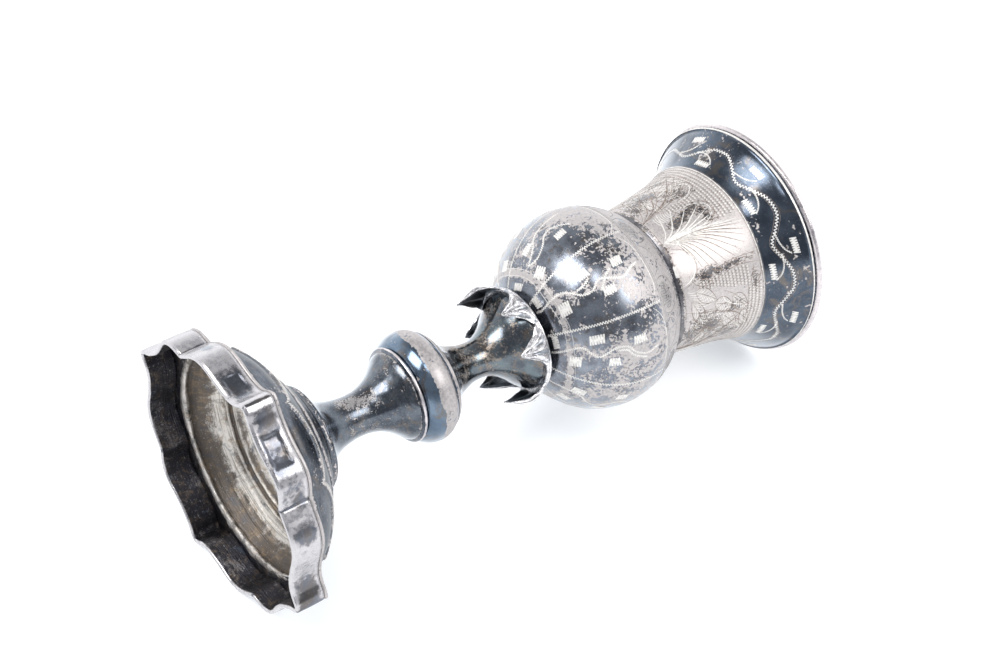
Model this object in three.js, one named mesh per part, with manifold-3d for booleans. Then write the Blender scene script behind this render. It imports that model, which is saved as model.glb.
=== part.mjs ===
// Footed silver goblet: scalloped foot, baluster stem with a knop, leaf calyx, ball bowl and flared mouth.
// Millimetres, +Z up, axis of the goblet on Z, scallop points of the foot on +X, +Y, -X and -Y.
import * as THREE from 'three';
import Module from 'manifold-3d';
import { mergeVertices } from 'three/addons/utils/BufferGeometryUtils.js';

// Heights of the soldered joints, from the table up.
const Z_LEDGE = 6.0;          // top of the foot wall, underside of the ledge
const Z_DOME = 6.8;           // top of the ledge, base of the foot dome
const Z_STEM = 19.4;          // top of the foot dome, base of the lower stem
const Z_BEAD = 40.0;          // top of the lower stem
const Z_KNOP = 41.0;          // top of the bead wire
const Z_COLLAR = 47.9;        // top of the knop
const Z_UPPER = 49.0;         // top of the collar
const Z_CALYX = 69.0;         // top of the upper stem, underside of the calyx disc
const Z_BALL = 69.6;          // seat of the ball on the calyx disc
const Z_WAIST = 100.0;        // sharp waist between ball and throat
const Z_LIP = 128.6;          // top of the throat, seat of the lip moulding
const HEIGHT = 130.0;

const SHEET = 0.8;            // thickness of the raised silver sheet
const FOOT_SHEET = 0.9;       // thickness of the foot wall strip

// One quarter of the foot outline: degrees past a scallop point, radius.
const SCALLOP = [
  [0, 29.6], [3, 28.9], [6, 27.8], [10, 27.0], [15, 26.5], [20, 26.7], [25, 27.3], [29, 27.5],
  [33, 27.2], [37, 26.4], [41.5, 25.2], [46, 25.6], [51, 26.3], [56, 26.8], [61, 26.8],
  [66, 26.4], [72, 25.8], [78, 25.7], [82, 26.1], [85, 27.0], [87.7, 28.6],
];
const QUARTERS = 4;
const LEDGE_HOLE_R = 22.6;
// Rounded upper edge of the ledge, from its side to its top: distance in, height up.
const LEDGE_ROUND = [[0, 0.25], [0.2, 0.62], [0.6, 0.8]];

const BALL = { r: 21.3, halfHeight: 18.2, z: 87.5 };

const CALYX = { holeR: 2.5, discR: 10.55, rimR: 11.0, wireR: 0.5, wireZ: 69.25, sheet: 0.5 };
// Calyx leaves, cut and bent by hand: direction in degrees, length, how far the tip leans outward.
const LEAVES = [
  { at: 203, length: 9.1, lean: 0.3 }, { at: 259, length: 5.8, lean: 0.4 },
  { at: 306, length: 6.1, lean: 0.1 }, { at: 15, length: 8.6, lean: -0.7 },
  { at: 77, length: 7.0, lean: 0.0 }, { at: 137, length: 6.2, lean: -0.8 },
];
const LEAF = { halfWidth: 4.3, tipHalfWidth: 0.12, bulge: 0.5, crease: 0.35, waisting: 0.35 };
const LEAF_ROWS = 9;
const LEAF_COLS = 6;

const STEM_SEGMENTS = 36;
const BOWL_SEGMENTS = 48;
const CALYX_SEGMENTS = 40;
const FOLD = { from: -150, to: 130, step: 40 };   // degrees round the folded rim of the calyx

const FINISH = {
  dark: { color: 0x5c6066, roughness: 0.34, metalness: 1 },
  grey: { color: 0x82868b, roughness: 0.3, metalness: 1 },
  pale: { color: 0xb9b5ae, roughness: 0.36, metalness: 1 },
};

const wasm = await Module();
wasm.setup();

function named(name, geometry, finish) {
  const mesh = new THREE.Mesh(geometry, new THREE.MeshStandardMaterial({ ...FINISH[finish] }));
  mesh.name = name;
  return mesh;
}

// Turns a closed [radius, height] outline, wound outer side up, about the Z axis.
function turned(outline, segments) {
  const points = outline.map(([r, z]) => new THREE.Vector2(r, z));
  if (outline[0][0] > 0) points.push(points[0].clone());
  return new THREE.LatheGeometry(points, segments).rotateX(Math.PI / 2);
}

// Skins a closed chain of rings that all have the same number of points.
function ringBody(rings) {
  const count = rings[0].length;
  const positions = rings.flat(2);
  const index = [];
  rings.forEach((_, k) => {
    const low = k * count;
    const high = ((k + 1) % rings.length) * count;
    for (let i = 0; i < count; i++) {
      const j = (i + 1) % count;
      index.push(low + i, low + j, high + j, low + i, high + j, high + i);
    }
  });
  const geometry = new THREE.BufferGeometry();
  geometry.setAttribute('position', new THREE.Float32BufferAttribute(positions, 3));
  geometry.setIndex(index);
  return geometry;
}

// Outline of the foot as [x, y] points.
function footOutline() {
  const outline = [];
  for (let q = 0; q < QUARTERS; q++) {
    SCALLOP.forEach(([angle, r]) => {
      const a = THREE.MathUtils.degToRad(angle + q * 360 / QUARTERS);
      outline.push([r * Math.cos(a), r * Math.sin(a)]);
    });
  }
  return outline;
}

function inset(outline, distance) {
  const n = outline.length;
  return outline.map(([x, y], i) => {
    const before = outline[(i + n - 1) % n];
    const after = outline[(i + 1) % n];
    const tangent = new THREE.Vector2(after[0] - before[0], after[1] - before[1]).normalize();
    return [x - tangent.y * distance, y + tangent.x * distance];
  });
}

const atHeight = (outline, z) => outline.map(([x, y]) => [x, y, z]);

function footWall(outline) {
  const inner = inset(outline, FOOT_SHEET);
  return ringBody([
    atHeight(outline, 0), atHeight(outline, Z_LEDGE), atHeight(inner, Z_LEDGE), atHeight(inner, 0),
  ]);
}

function footLedge(outline) {
  const hole = outline.map(([x, y]) => {
    const k = LEDGE_HOLE_R / Math.hypot(x, y);
    return [x * k, y * k];
  });
  return ringBody([
    atHeight(outline, Z_LEDGE),
    ...LEDGE_ROUND.map(([inwards, up]) => atHeight(inset(outline, inwards), Z_LEDGE + up)),
    atHeight(hole, Z_DOME), atHeight(hole, Z_LEDGE),
  ]);
}

function footDome() {
  return turned([
    [24.3, Z_DOME], [24.2, 7.6], [23.5, 9.0], [22.0, 10.9], [19.9, 12.6], [17.6, 14.1],
    [15.8, 15.1], [15.6, 15.5], [15.1, 15.6], [14.9, 15.95], [14.4, 16.1], [12.5, 17.5],
    [11.0, 18.7], [10.8, Z_STEM],
    [7.8, Z_STEM], [7.8, 18.6], [10.2, 18.2], [11.9, 16.8], [14.0, 15.3], [17.0, 13.4],
    [19.2, 11.9], [21.2, 10.3], [22.7, 8.5], [23.3, 7.3], [23.3, Z_DOME],
  ], BOWL_SEGMENTS);
}

function lowerStem() {
  return turned([
    [10.4, Z_STEM], [10.5, 19.8], [10.1, 20.15], [9.0, 20.4], [7.8, 21.1], [6.4, 22.5],
    [5.3, 24.5], [4.6, 27], [4.3, 30], [4.45, 32], [5.0, 34], [6.0, 36], [7.6, 38],
    [8.8, 39.3], [9.2, Z_BEAD],
    [8.2, Z_BEAD], [7.9, 39.5], [6.7, 38.2], [5.1, 36.2], [4.1, 34.2], [3.55, 32], [3.4, 30],
    [3.7, 27], [4.4, 24.7], [5.6, 22.6], [7.0, 21.0], [8.4, 19.9], [8.6, Z_STEM],
  ], STEM_SEGMENTS);
}

function knopBead() {
  return turned([
    [9.3, Z_BEAD], [9.75, 40.12], [9.95, 40.5], [9.75, 40.88], [9.3, Z_KNOP],
    [8.2, Z_KNOP], [8.2, Z_BEAD],
  ], STEM_SEGMENTS);
}

function knop() {
  return turned([
    [9.25, Z_KNOP], [9.9, 41.25], [10.7, 42.1], [11.3, 43.2], [11.6, 44.6], [11.55, 45.6],
    [11.2, 46.7], [10.6, 47.5], [10.1, Z_COLLAR],
    [8.4, Z_COLLAR], [9.6, 47.0], [10.4, 45.9], [10.7, 44.8], [10.4, 43.5], [9.8, 42.6],
    [8.9, 41.9], [8.2, Z_KNOP],
  ], STEM_SEGMENTS);
}

function knopCollar() {
  return turned([
    [10.2, Z_COLLAR], [10.3, 48.1], [10.15, 48.35], [9.7, 48.45], [9.7, 48.8], [9.5, Z_UPPER],
    [7.8, Z_UPPER], [7.8, Z_COLLAR],
  ], STEM_SEGMENTS);
}

function upperStem() {
  return turned([
    [8.9, Z_UPPER], [8.4, 49.6], [7.2, 50.6], [5.9, 52], [4.9, 54], [4.2, 56], [3.95, 58],
    [4.1, 60], [4.9, 62], [6.3, 64], [8.2, 66], [9.5, 67.5], [10.1, 68.4], [10.2, Z_CALYX],
    [9.3, Z_CALYX], [8.9, 68.2], [7.6, 66.7], [5.7, 64.7], [4.2, 62.5], [3.3, 60.3],
    [3.05, 58], [3.3, 55.9], [4.0, 53.8], [5.1, 51.9], [6.6, 50.4], [7.8, 49.4], [7.9, Z_UPPER],
  ], STEM_SEGMENTS);
}

// Disc under the ball with its rim folded round to the leaves.
function calyxDisc() {
  const fold = [];
  for (let deg = FOLD.from; deg <= FOLD.to; deg += FOLD.step) {
    const a = THREE.MathUtils.degToRad(deg);
    fold.push([CALYX.rimR + CALYX.wireR * Math.cos(a), CALYX.wireZ + CALYX.wireR * Math.sin(a)]);
  }
  return turned([
    [CALYX.holeR, Z_CALYX], [CALYX.discR, Z_CALYX], ...fold,
    [CALYX.discR, Z_BALL], [CALYX.holeR, Z_BALL],
  ], CALYX_SEGMENTS);
}

// One pointed leaf hanging from the fold, creased along its midrib.
function calyxLeaf({ at, length, lean }) {
  const grid = (offset) => {
    const rows = [];
    for (let i = 0; i <= LEAF_ROWS; i++) {
      const s = i / LEAF_ROWS;
      const taper = (1 - s) ** 0.9 * (1 - LEAF.waisting * s * Math.sin(Math.PI * s));
      const half = LEAF.tipHalfWidth + LEAF.halfWidth * taper;
      const bend = lean * s * s + LEAF.bulge * Math.sin(Math.PI * s);
      const fold = LEAF.crease * Math.sin(Math.PI * Math.min(1, s + 0.2));
      for (let j = 0; j <= LEAF_COLS; j++) {
        const w = 2 * j / LEAF_COLS - 1;
        const r = CALYX.rimR + bend + fold * (1 - Math.abs(w)) + offset;
        const a = THREE.MathUtils.degToRad(at) + half * w / r;
        rows.push([r * Math.cos(a), r * Math.sin(a), CALYX.wireZ - length * s]);
      }
    }
    return rows;
  };
  const outer = grid(CALYX.sheet / 2);
  const inner = grid(-CALYX.sheet / 2);
  const positions = [...outer, ...inner].flat();
  const shift = outer.length;
  const cols = LEAF_COLS + 1;
  const index = [];
  const quad = (a, b, c, d) => index.push(a, b, c, a, c, d);
  for (let i = 0; i < LEAF_ROWS; i++) {
    for (let j = 0; j < LEAF_COLS; j++) {
      const a = i * cols + j;
      quad(a, a + cols, a + cols + 1, a + 1);
      quad(shift + a, shift + a + 1, shift + a + cols + 1, shift + a + cols);
    }
    const left = i * cols;
    const right = left + LEAF_COLS;
    quad(left, shift + left, shift + left + cols, left + cols);
    quad(right, right + cols, shift + right + cols, shift + right);
  }
  const last = LEAF_ROWS * cols;
  for (let j = 0; j < LEAF_COLS; j++) {
    quad(j, j + 1, shift + j + 1, shift + j);
    quad(last + j, shift + last + j, shift + last + j + 1, last + j + 1);
  }
  const geometry = new THREE.BufferGeometry();
  geometry.setAttribute('position', new THREE.Float32BufferAttribute(positions, 3));
  geometry.setIndex(index);
  return geometry;
}

function solid(geometry) {
  geometry.deleteAttribute('normal');
  geometry.deleteAttribute('uv');
  const merged = mergeVertices(geometry, 1e-4);
  return new wasm.Manifold(new wasm.Mesh({
    numProp: 3,
    vertProperties: new Float32Array(merged.attributes.position.array),
    triVerts: new Uint32Array(merged.index.array),
  }));
}

function calyx() {
  const body = LEAVES.reduce((sum, leaf) => sum.add(solid(calyxLeaf(leaf))), solid(calyxDisc()));
  const mesh = body.getMesh();
  const geometry = new THREE.BufferGeometry();
  geometry.setAttribute('position', new THREE.Float32BufferAttribute(mesh.vertProperties, 3));
  geometry.setIndex(new THREE.Uint32BufferAttribute(mesh.triVerts, 1));
  return geometry;
}

// Points of the ball's oval section between two heights, from bottom to top.
function ovalSection(r, halfHeight, zLow, zHigh, steps) {
  const low = Math.asin((zLow - BALL.z) / halfHeight);
  const high = Math.asin((zHigh - BALL.z) / halfHeight);
  return Array.from({ length: steps + 1 }, (_, i) => {
    const a = low + (high - low) * i / steps;
    return [r * Math.cos(a), BALL.z + halfHeight * Math.sin(a)];
  });
}

function cupBall() {
  const outer = ovalSection(BALL.r, BALL.halfHeight, Z_BALL, Z_WAIST, 12);
  const inner = ovalSection(BALL.r - SHEET, BALL.halfHeight - SHEET, Z_BALL + SHEET, Z_WAIST, 10);
  return turned([
    [0, Z_BALL], ...outer, ...inner.reverse(), [0, Z_BALL + SHEET],
  ], BOWL_SEGMENTS);
}

function cupThroat() {
  return turned([
    [15.5, Z_WAIST], [15.95, 100.8], [16.4, 102.5], [16.8, 105], [17.3, 109], [17.9, 113],
    [18.6, 116], [19.6, 119.2], [21.1, 122], [23.1, 125], [24.5, 127], [24.85, 127.6],
    [25.3, 127.75], [25.3, 128.15], [25.0, 128.3], [25.0, Z_LIP],
    [24.2, Z_LIP], [23.6, 127.1], [22.4, 125.4], [20.4, 122.5], [18.8, 119.5], [17.8, 116.2],
    [17.1, 113], [16.5, 109], [16.0, 105], [15.6, 102.5], [14.9, 100.9], [14.6, Z_WAIST],
  ], BOWL_SEGMENTS);
}

function lipMoulding() {
  return turned([
    [25.2, Z_LIP], [25.7, 128.8], [25.9, 129.25], [25.75, 129.7], [25.3, HEIGHT],
    [24.7, HEIGHT], [24.25, 129.7], [24.15, 129.2], [24.3, Z_LIP],
  ], BOWL_SEGMENTS);
}

const goblet = new THREE.Group();
goblet.name = 'goblet';
const outline = footOutline();
goblet.add(
  named('foot_wall', footWall(outline), 'grey'),
  named('foot_ledge', footLedge(outline), 'dark'),
  named('foot_dome', footDome(), 'dark'),
  named('lower_stem', lowerStem(), 'dark'),
  named('knop_bead', knopBead(), 'grey'),
  named('knop', knop(), 'grey'),
  named('knop_collar', knopCollar(), 'grey'),
  named('upper_stem', upperStem(), 'dark'),
  named('calyx', calyx(), 'grey'),
  named('cup_ball', cupBall(), 'grey'),
  named('cup_throat', cupThroat(), 'pale'),
  named('lip_moulding', lipMoulding(), 'grey'),
);

export default goblet;
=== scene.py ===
"""A worn, tarnished silver goblet on its side: fine meshes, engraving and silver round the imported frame."""
import math

import bpy
import numpy as np
from mathutils import Matrix, Vector


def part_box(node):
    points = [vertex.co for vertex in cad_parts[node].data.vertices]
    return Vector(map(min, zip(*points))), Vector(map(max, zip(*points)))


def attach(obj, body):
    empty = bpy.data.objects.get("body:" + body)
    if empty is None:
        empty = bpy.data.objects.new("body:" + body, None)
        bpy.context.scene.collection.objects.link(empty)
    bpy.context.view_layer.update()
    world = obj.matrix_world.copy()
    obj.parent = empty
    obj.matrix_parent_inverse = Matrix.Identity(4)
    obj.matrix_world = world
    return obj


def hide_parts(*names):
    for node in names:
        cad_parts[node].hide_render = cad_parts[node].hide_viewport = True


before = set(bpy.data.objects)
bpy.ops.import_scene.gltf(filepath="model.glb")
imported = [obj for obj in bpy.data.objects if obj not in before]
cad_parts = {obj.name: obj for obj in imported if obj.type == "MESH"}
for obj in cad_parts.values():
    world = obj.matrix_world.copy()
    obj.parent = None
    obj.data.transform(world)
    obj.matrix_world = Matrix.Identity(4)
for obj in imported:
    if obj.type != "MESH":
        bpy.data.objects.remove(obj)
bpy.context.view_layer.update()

MM = 0.001
BODY = "root"

# --- noise


def value_noise(points, seed):
    """Smooth noise from -1 to 1 at (..., 3) points, one cell to a unit."""
    cell = np.floor(points).astype(np.int64)
    part = points - cell
    part = part * part * (3 - 2 * part)
    total = np.zeros(points.shape[:-1])
    for corner in range(8):
        step = np.array([corner & 1, corner >> 1 & 1, corner >> 2 & 1])
        x, y, z = np.moveaxis(cell + step, -1, 0)
        code = (x * 73856093) ^ (y * 19349663) ^ (z * 83492791) ^ (seed * 9781)
        code = ((code ^ (code >> 13)) * 1274126177) & 0x7FFFFFFF
        value = ((code ^ (code >> 15)) & 0xFFFF) / 32767.5 - 1
        total += value * np.prod(np.where(step, part, 1 - part), axis=-1)
    return total


def fractal(points, size, seed, octaves=3):
    """Noise of a few octaves; size is the width in mm of its largest features."""
    total = np.zeros(points.shape[:-1])
    for k in range(octaves):
        total += 0.5 ** k * value_noise(points * 2 ** k / size + 7.1 * k, seed + k)
    return total / (2 - 0.5 ** (octaves - 1))


def ramp(x, low, high):
    """Smooth step from 0 at low to 1 at high."""
    t = np.clip((x - low) / (high - low), 0, 1)
    return t * t * (3 - 2 * t)


def apart(a, b):
    """Signed degrees from b to a, from -180 to 180."""
    return (a - b + 180) % 360 - 180


def hump(x, middle, width):
    """A smooth rise to 1 at the middle and back to 0."""
    return np.exp(-(((x - middle) / width) ** 2))


def spot(a, z, at, height, wide, tall):
    """A soft oval patch on a turned surface, 1 in its middle; wide in degrees, tall in mm."""
    return hump(apart(a, at), 0, wide) * hump(z, height, tall)


def band(z, low, high, soft=0.25):
    """1 between two heights and 0 past them, with soft edges."""
    return ramp(z, low - soft, low + soft) * (1 - ramp(z, high - soft, high + soft))


def unit(vectors):
    return vectors / np.maximum(np.linalg.norm(vectors, axis=-1, keepdims=True), 1e-9)


def turned(a, r, z):
    """Points at a degrees round the axis, r from it and z up."""
    x, y = r * np.cos(np.radians(a)), r * np.sin(np.radians(a))
    return np.stack([x, y, z + 0 * x], -1)


def arc(x, y, half_wide, half_tall, start, end, count=14):
    """Points of an oval arc, from start to end degrees round it."""
    turns = np.radians(np.linspace(start, end, count))
    return [(x + half_wide * math.cos(t), y + half_tall * math.sin(t)) for t in turns]


# --- sections of the frame


def section(name):
    """A node's cut through +X as an ordered chain of (radius, height) in mm, and whether it closes."""
    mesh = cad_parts[name].data
    merged, index = {}, []
    for v in mesh.vertices:
        key = tuple(round(c / MM, 3) for c in v.co)
        index.append(merged.setdefault(key, len(merged)))
    places = list(merged)
    cut = {i for i, p in enumerate(places) if abs(p[1]) < 0.002 and p[0] > -0.002}
    near = {i: set() for i in cut}
    for edge in mesh.edges:
        i, j = (index[k] for k in edge.vertices)
        if i != j and i in cut and j in cut:
            near[i].add(j)
            near[j].add(i)
    ends = [i for i in sorted(cut) if len(near[i]) == 1]
    low = min(cut, key=lambda i: (places[i][2], -places[i][0]))
    start = min(ends, key=lambda i: places[i][2]) if ends else low
    chain = [start]
    options = sorted(near[start], key=lambda i: -(places[i][0] + places[i][2]))
    while options:
        chain.append(options[0])
        options = [i for i in near[chain[-1]] if i != chain[-2] and i not in chain]
    points = np.array([[places[i][0], places[i][2]] for i in chain])
    return points, not ends


def smooth(points, closed, step, corner=40.0, bevel=0.07):
    """Points along a smooth curve through a chain; bends over corner degrees stay, with a small bevel."""
    count = len(points)
    legs = count if closed else count - 1
    chord = np.array([points[(i + 1) % count] - points[i] for i in range(legs)])
    length = np.maximum(np.hypot(*chord.T), 1e-9)
    heading = chord / length[:, None]
    sharp, tangent = [], []
    for i in range(count):
        if not closed and i in (0, count - 1):
            sharp.append(True)
            tangent.append(heading[0 if i == 0 else -1])
            continue
        before, after = heading[i - 1], heading[i % legs]
        turn = math.degrees(math.acos(float(np.clip(before @ after, -1, 1))))
        sharp.append(turn > corner)
        a, b = length[i - 1], length[i % legs]
        tangent.append((before * b + after * a) / (a + b))
    made = []
    for i in range(legs):
        j = (i + 1) % count
        t0 = heading[i] if sharp[i] else tangent[i]
        t1 = heading[i] if sharp[j] else tangent[j]
        inset0 = min(bevel / length[i], 0.3) if sharp[i] and (closed or i) else 0
        inset1 = min(bevel / length[i], 0.3) if sharp[j] and (closed or j < count - 1) else 0
        steps = max(2, int(math.ceil(length[i] / step)))
        last = 1 - inset1 if (inset1 or (not closed and j == count - 1)) else 1 - 1 / steps
        t = np.linspace(inset0, last, steps + (1 if inset1 else 0))[:, None]
        made.append(
            (2 * t**3 - 3 * t**2 + 1) * points[i] + (t**3 - 2 * t**2 + t) * length[i] * t0
            + (3 * t**2 - 2 * t**3) * points[j] + (t**3 - t**2) * length[i] * t1
        )
    return np.vstack(made)


def curved(points, t):
    """A Catmull-Rom curve through (n, 2) points at parameters t."""
    last = len(points) - 1
    i = np.clip(np.floor(t).astype(int), 0, last - 1)
    f = (t - i)[:, None]
    p0, p1 = points[np.maximum(i - 1, 0)], points[i]
    p2, p3 = points[i + 1], points[np.minimum(i + 2, last)]
    made = 0.5 * (2 * p1 + (p2 - p0) * f + (2 * p0 - 5 * p1 + 4 * p2 - p3) * f**2
                  + (3 * p1 - p0 - 3 * p2 + p3) * f**3)
    return made[:, 0], made[:, 1]


def beside(along):
    """Unit vectors to the right of (n, 2) directions."""
    along = unit(along)
    return np.stack([along[:, 1], -along[:, 0]], 1)


def outward(curve, closed):
    """Unit normals of a section, pointing away from the metal."""
    return beside(np.roll(curve, -1, 0) - np.roll(curve, 1, 0) if closed else np.gradient(curve, axis=0))


# --- mesh making


def placed(name, data):
    """A new object in the scene."""
    made = bpy.data.objects.new(name, data)
    bpy.context.scene.collection.objects.link(made)
    return made


def add_mesh(name, vertices, faces, materials, replaces=(), fields=None, material_index=None):
    """A smooth-shaded piece of the goblet from mm vertices, with its point attributes."""
    mesh = bpy.data.meshes.new(name)
    mesh.from_pydata((np.asarray(vertices) * MM).tolist(), [], faces)
    for material in materials:
        mesh.materials.append(material)
    for key, values in (fields or {}).items():
        mesh.attributes.new(key, "FLOAT", "POINT").data.foreach_set("value", np.ravel(values).astype("f4"))
    if material_index is not None:
        mesh.polygons.foreach_set("material_index", material_index.astype("i4"))
    mesh.polygons.foreach_set("use_smooth", [True] * len(mesh.polygons))
    mesh.validate()
    mesh.update()
    piece = placed(name, mesh)
    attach(piece, BODY)
    if replaces:
        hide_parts(*replaces)


def grid_faces(rows, columns, wrap_rows=True, flip=False):
    """Quads over a rows x columns grid of vertices that closes round its columns."""
    i = np.arange(rows if wrap_rows else rows - 1)[:, None]
    j = np.arange(columns)[None, :]
    i1, j1 = (i + 1) % rows, (j + 1) % columns
    corners = [i * columns + j, i * columns + j1, i1 * columns + j1, i1 * columns + j]
    return np.stack(corners[::-1] if flip else corners, -1).reshape(-1, 4).tolist()


INNER = -0.05                 # a normal that points to the axis more than this is on the inner side
SOFT_END = 0.5                # mm over which relief fades out at a piece's ends
INNER_WEAR = 0.3


def turned_piece(name, materials, columns, step, relief, wear, inner_wear=None, split=1e9):
    """A node turned afresh from its own section, finer, with relief and wear over its outer side.

    Its materials are for the outer side, the inner side, and the outer side above the height split.
    """
    chain, closed = section(name)
    curve = smooth(chain, closed, step)
    normal = outward(curve, closed)
    a, r = np.meshgrid(np.linspace(0, 360, columns, endpoint=False), curve[:, 0])
    z, nr, nz = (np.repeat(k[:, None], columns, 1) for k in (curve[:, 1], *normal.T))
    lift = relief(a, z, nr, turned(a, r, z)) if relief else 0 * a
    low, high = curve[:, 1].min(), curve[:, 1].max()
    lift = lift * ramp(z, low, low + SOFT_END) * ramp(-z, -high, -high + SOFT_END)
    place = turned(a, r + lift * nr, z + lift * nz)
    within = inner_wear(r) if inner_wear else INNER_WEAR
    fields = {"wear": np.where(nr < INNER, within, wear(a, z, nr, place)).ravel()}
    kind = np.where(normal[:, 0] < INNER, 1, np.where(curve[:, 1] > split, 2, 0))
    index = np.repeat(kind if closed else kind[:-1], columns) if len(materials) > 1 else None
    vertices, faces = place.reshape(-1, 3), grid_faces(len(curve), columns, closed)
    if not closed:
        vertices, faces, fields = close_poles(vertices, faces, fields, columns)
    add_mesh(name + "_fine", vertices, faces, materials, [name], fields, index)


def close_poles(vertices, faces, fields, columns):
    """Turns the quads at both ends, on the axis, into fans round one vertex each."""
    last = len(vertices) - columns
    lead = np.arange(len(vertices))
    lead[:columns] = 0
    lead[last:] = last
    used, fresh = np.unique(lead, return_inverse=True)
    faces = [list(dict.fromkeys(fresh[face].tolist())) for face in faces]
    return vertices[used], faces, {key: values[used] for key, values in fields.items()}


# --- materials


def connect(tree, target, inputs):
    """Links each input of a node to a socket, or sets it to a value."""
    for key, value in inputs.items():
        if isinstance(value, bpy.types.NodeSocket):
            tree.links.new(value, target.inputs[key])
        else:
            target.inputs[key].default_value = value


def node(tree, kind, inputs=None, **settings):
    made = tree.nodes.new(kind)
    for key, value in settings.items():
        setattr(made, key, value)
    connect(tree, made, inputs or {})
    return made


def maths(tree, operation, *values):
    return node(tree, "ShaderNodeMath", dict(enumerate(values)), operation=operation).outputs[0]


def weighted(tree, start, *terms):
    """start plus the product of each (value, weight) pair."""
    total = start
    for value, weight in terms:
        total = maths(tree, "MULTIPLY_ADD", value, weight, total)
    return total


def mixed(tree, factor, a, b):
    """Colour a, turning into colour b as the factor goes from 0 to 1."""
    a, b = ((*colour, 1.0) if isinstance(colour, tuple) else colour for colour in (a, b))
    return node(tree, "ShaderNodeMix", {0: factor, 6: a, 7: b}, data_type="RGBA").outputs[2]


def ranged(tree, value, low, high, to_low=0.0, to_high=1.0):
    inputs = {0: value, 1: low, 2: high, 3: to_low, 4: to_high}
    return node(tree, "ShaderNodeMapRange", inputs, interpolation_type="SMOOTHSTEP").outputs[0]


def layered(tree, colour, *layers):
    """The colour under each layer in turn: (value, low, high, most, colour) of one that fades in."""
    for value, low, high, most, over in layers:
        colour = mixed(tree, ranged(tree, value, low, high, 0.0, most), colour, over)
    return colour


def in_mm(tree, stretch=(1, 1, 1)):
    """The point's place in the goblet's frame, in mm."""
    place = node(tree, "ShaderNodeTexCoord").outputs["Object"]
    scale = [k / MM for k in stretch]
    return node(tree, "ShaderNodeMapping", {"Vector": place, "Scale": scale}).outputs[0]


def noise(tree, place, scale, detail=4.0, rough=0.55, warp=0.0):
    """Noise whose scale is in features per mm."""
    inputs = {"Vector": place, "Scale": scale, "Detail": detail, "Roughness": rough, "Distortion": warp}
    return node(tree, "ShaderNodeTexNoise", inputs).outputs[0]


def worn_places(tree):
    return node(tree, "ShaderNodeAttribute", attribute_name="wear").outputs["Fac"]


def bump(tree, strength, depth, height):
    """A normal that follows a height, depth mm deep."""
    inputs = {"Strength": strength, "Distance": depth * MM, "Height": height}
    return node(tree, "ShaderNodeBump", inputs).outputs[0]


def new_material(name):
    material = bpy.data.materials.new(name)
    material.use_nodes = True
    return material, material.node_tree, material.node_tree.nodes["Principled BSDF"]


BLUE_BLACK = (0.122, 0.135, 0.162)
STEEL_BLUE = (0.215, 0.24, 0.28)
BROWN_BLACK = (0.16, 0.14, 0.125)
WORN_PINK = (0.57, 0.53, 0.52)
WORN_GREY = (0.43, 0.41, 0.41)
FRINGE_BROWN = (0.36, 0.27, 0.19)
# Colour of the painted reflection at grazing angles.
GRAZING_REFLECTION = (0.66, 0.70, 0.76)
RUST = (0.36, 0.27, 0.18)
STAIN_BLUE = (0.10, 0.13, 0.18)
# Bluish white of the painted glints on the inside of the foot.
GLINT_SPECK = (0.60, 0.62, 0.65)


def silver(name, dark=BLUE_BLACK, cool=STEEL_BLUE, warm=BROWN_BLACK, worn=WORN_PINK, worn_low=WORN_GREY,
           patch=0.42, crumb=2.1, gloss=(0.14, 0.30), matt=0.50, edge=0.010, tint=0.25, dull=0.35,
           cloudy=0.5, pale=0.85, grazing=1.0):
    """Silver under tarnish, worn through where noise and the wear attribute say.

    patch and crumb are the two sizes of the worn places, in features per mm, and edge how softly
    they end. The film has gloss roughness; bare metal is matt, and dull is how far it scatters light.
    cloudy is how far paler clouds show in the film, and pale how far a painted reflection of the bright
    surroundings pales it at grazing angles, where grazing scales what is mirrored.
    """
    material, tree, shader = new_material(name)
    place = in_mm(tree)
    # Facing: the film is painted paler towards grazing angles, a painted reflection of the bright
    # surroundings.
    rim = node(tree, "ShaderNodeLayerWeight", {"Blend": 0.5}).outputs["Facing"]
    large = noise(tree, place, patch, 6.0, 0.66, 0.5)
    small = noise(tree, place, crumb, 4.0, 0.6, 0.3)
    tone = noise(tree, place, patch * 0.55, 4.0, 0.55)
    hue = noise(tree, place, patch * 0.8, 4.0, 0.6, 0.8)
    cloud = noise(tree, place, 1.3, 5.0, 0.7)
    fine = noise(tree, place, 3.4, 3.0, 0.7)
    scratch = noise(tree, in_mm(tree, (0.5, 0.5, 6.0)), 1.2, 2.0)
    level = weighted(tree, -0.69, (large, 0.58), (small, 0.42), (worn_places(tree), 0.38))
    bare = ranged(tree, level, -edge, edge)
    fringe = maths(tree, "ABSOLUTE", level)
    film = layered(
        tree, dark, (tone, 0.40, 0.64, 1.0, cool), (hue, 0.52, 0.66, 0.8, warm),
        (cloud, 0.48, 0.66, cloudy, cool), (fine, 0.54, 0.74, cloudy, WORN_GREY),
        (fringe, 0.035, 0.0, tint, FRINGE_BROWN), (rim, 0.45, 1.0, pale, GRAZING_REFLECTION))
    metal = layered(tree, worn_low, (small, 0.38, 0.62, 1.0, worn), (fine, 0.4, 0.7, 0.35, worn_low))
    rough_film = ranged(tree, tone, 0.35, 0.7, *gloss)
    rough_bare = ranged(tree, small, 0.35, 0.65, matt - 0.05, matt + 0.07)
    rougher = maths(tree, "SUBTRACT", rough_bare, rough_film)
    connect(tree, shader, {
        "Base Color": mixed(tree, bare, film, metal),
        "Roughness": maths(tree, "MULTIPLY_ADD", bare, rougher, rough_film),
        "Metallic": ranged(tree, bare, 0, 1, 1, 1 - dull),
        "Specular Tint": (grazing, grazing, grazing, 1.0),
        "Normal": bump(tree, 0.35, 0.04, weighted(tree, 0.0, (bare, -0.5), (fine, 0.3), (scratch, 0.35))),
    })
    return material


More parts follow.
